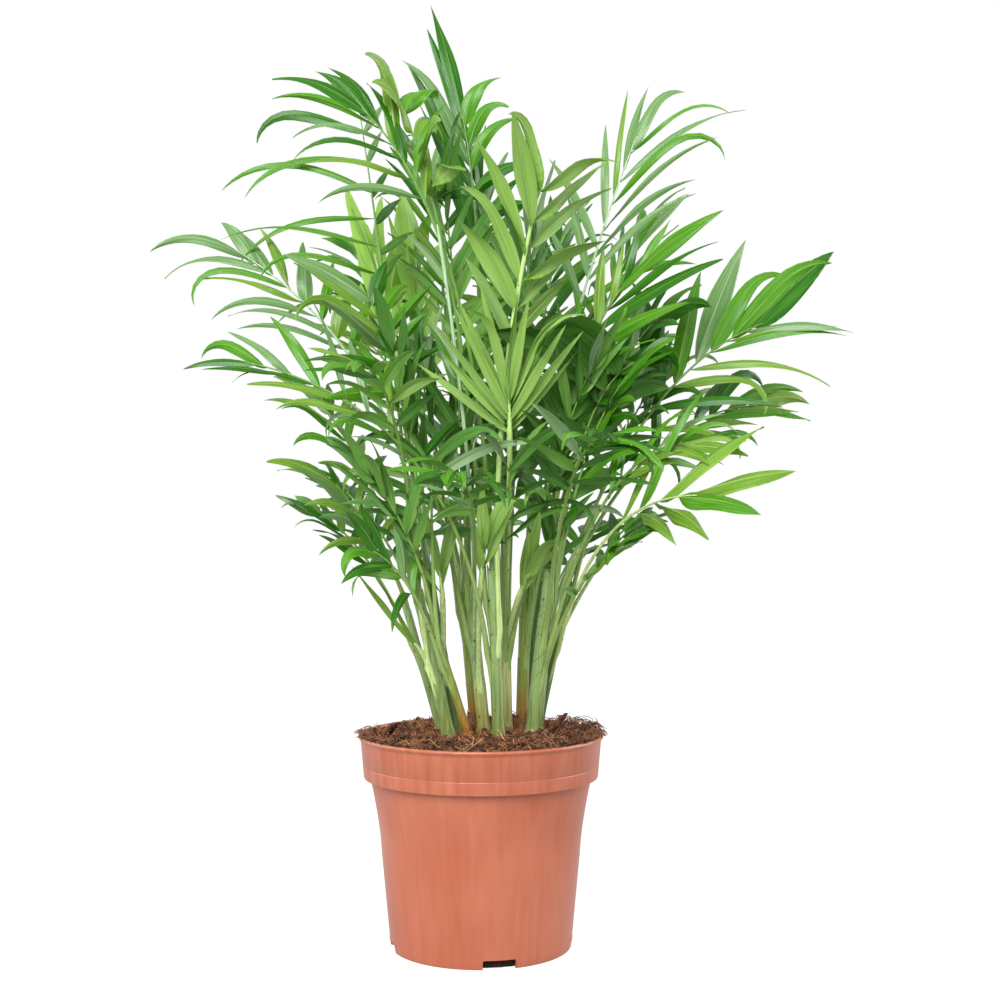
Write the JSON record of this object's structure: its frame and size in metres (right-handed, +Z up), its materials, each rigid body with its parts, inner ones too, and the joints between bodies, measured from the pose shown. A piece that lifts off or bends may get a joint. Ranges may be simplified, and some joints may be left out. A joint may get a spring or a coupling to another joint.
{
  "type": "potted parlour palm",
  "caption": "Small clumping palm in a tapered plastic nursery pot, with slender upright canes rising from a mound of soil and feather-shaped arching fronds on every side.",
  "frame": {"origin": "centre of the flat pad under the pot, level with the surface that the pot stands on", "axes": "+Z up along the pot's axis, +X to the right and +Y to the back as seen from the front of the plant"},
  "size_m": [0.492, 0.4864, 0.6536],
  "materials": {
    "pot": "satin injection-moulded polypropylene, terracotta colour",
    "soil": "damp coir and peat with fibres and chips of bark",
    "cane": "smooth green to cream cane with brown node rings and papery sheaths",
    "leaf": "satin green leaflet with fine parallel veins, paler underneath"
  },
  "bodies": {
    "root": {"pot": "pot", "soil": "soil", "cane_1": "cane", "cane_2": "cane", "cane_3": "cane", "cane_4": "cane", "cane_5": "cane", "cane_6": "cane", "cane_7": "cane", "cane_8": "cane", "cane_9": "cane", "cane_10": "cane", "cane_11": "cane", "cane_12": "cane", "cane_13": "cane", "cane_14": "cane", "cane_15": "cane", "frond_top_1": "leaf", "frond_top_2": "leaf", "frond_top_3": "leaf", "frond_top_4": "leaf", "frond_top_5": "leaf", "frond_left_1": "leaf", "frond_left_2": "leaf", "frond_left_3": "leaf", "frond_left_4": "leaf", "frond_left_5": "leaf", "frond_left_6": "leaf", "frond_left_7": "leaf", "frond_left_8": "leaf", "frond_left_9": "leaf", "frond_left_10": "leaf", "frond_right_1": "leaf", "frond_right_2": "leaf", "frond_right_3": "leaf", "frond_right_4": "leaf", "frond_right_5": "leaf", "frond_right_6": "leaf", "frond_right_7": "leaf", "frond_right_8": "leaf", "frond_front_1": "leaf", "frond_front_2": "leaf", "frond_front_3": "leaf", "frond_front_4": "leaf", "frond_front_5": "leaf", "frond_front_6": "leaf", "frond_front_7": "leaf", "frond_back_1": "leaf", "frond_back_2": "leaf", "frond_back_3": "leaf", "frond_back_4": "leaf", "frond_back_5": "leaf", "frond_back_6": "leaf", "frond_back_7": "leaf", "frond_back_8": "leaf", "frond_back_9": "leaf", "frond_back_10": "leaf", "frond_back_11": "leaf", "frond_back_12": "leaf"}
  },
  "joints": []
}
